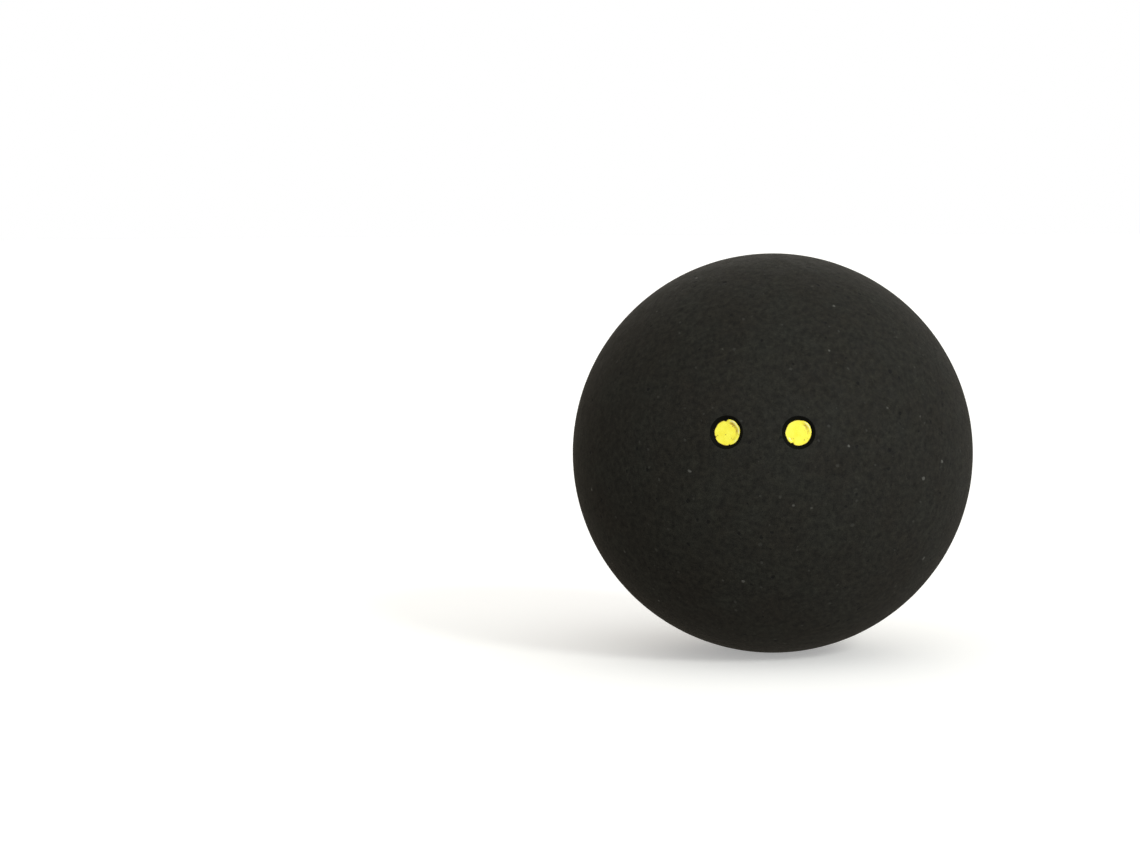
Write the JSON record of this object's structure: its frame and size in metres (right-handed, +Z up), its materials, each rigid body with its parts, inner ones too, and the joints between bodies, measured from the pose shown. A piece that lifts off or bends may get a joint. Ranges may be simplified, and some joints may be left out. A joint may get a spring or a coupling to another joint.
{
  "type": "squash ball",
  "caption": "Hollow black rubber squash ball, made of cemented half shells, with yellow speed dots sunk in the front half.",
  "frame": {"origin": "centre of the ball", "axes": "+Z up as the ball lies on a floor, -Y out through the middle of the half shell that carries the dots, +X to the right seen from the dots' side; the half shells meet in the XZ plane"},
  "size_m": [0.04, 0.04, 0.04],
  "materials": {
    "black_rubber": "matte",
    "rubber_cement": "satin",
    "yellow_paint": "satin"
  },
  "bodies": {
    "root": {"front_half_shell": "black_rubber", "rear_half_shell": "black_rubber", "seam_cement": "rubber_cement", "left_dot": "yellow_paint", "right_dot": "yellow_paint"}
  },
  "joints": []
}
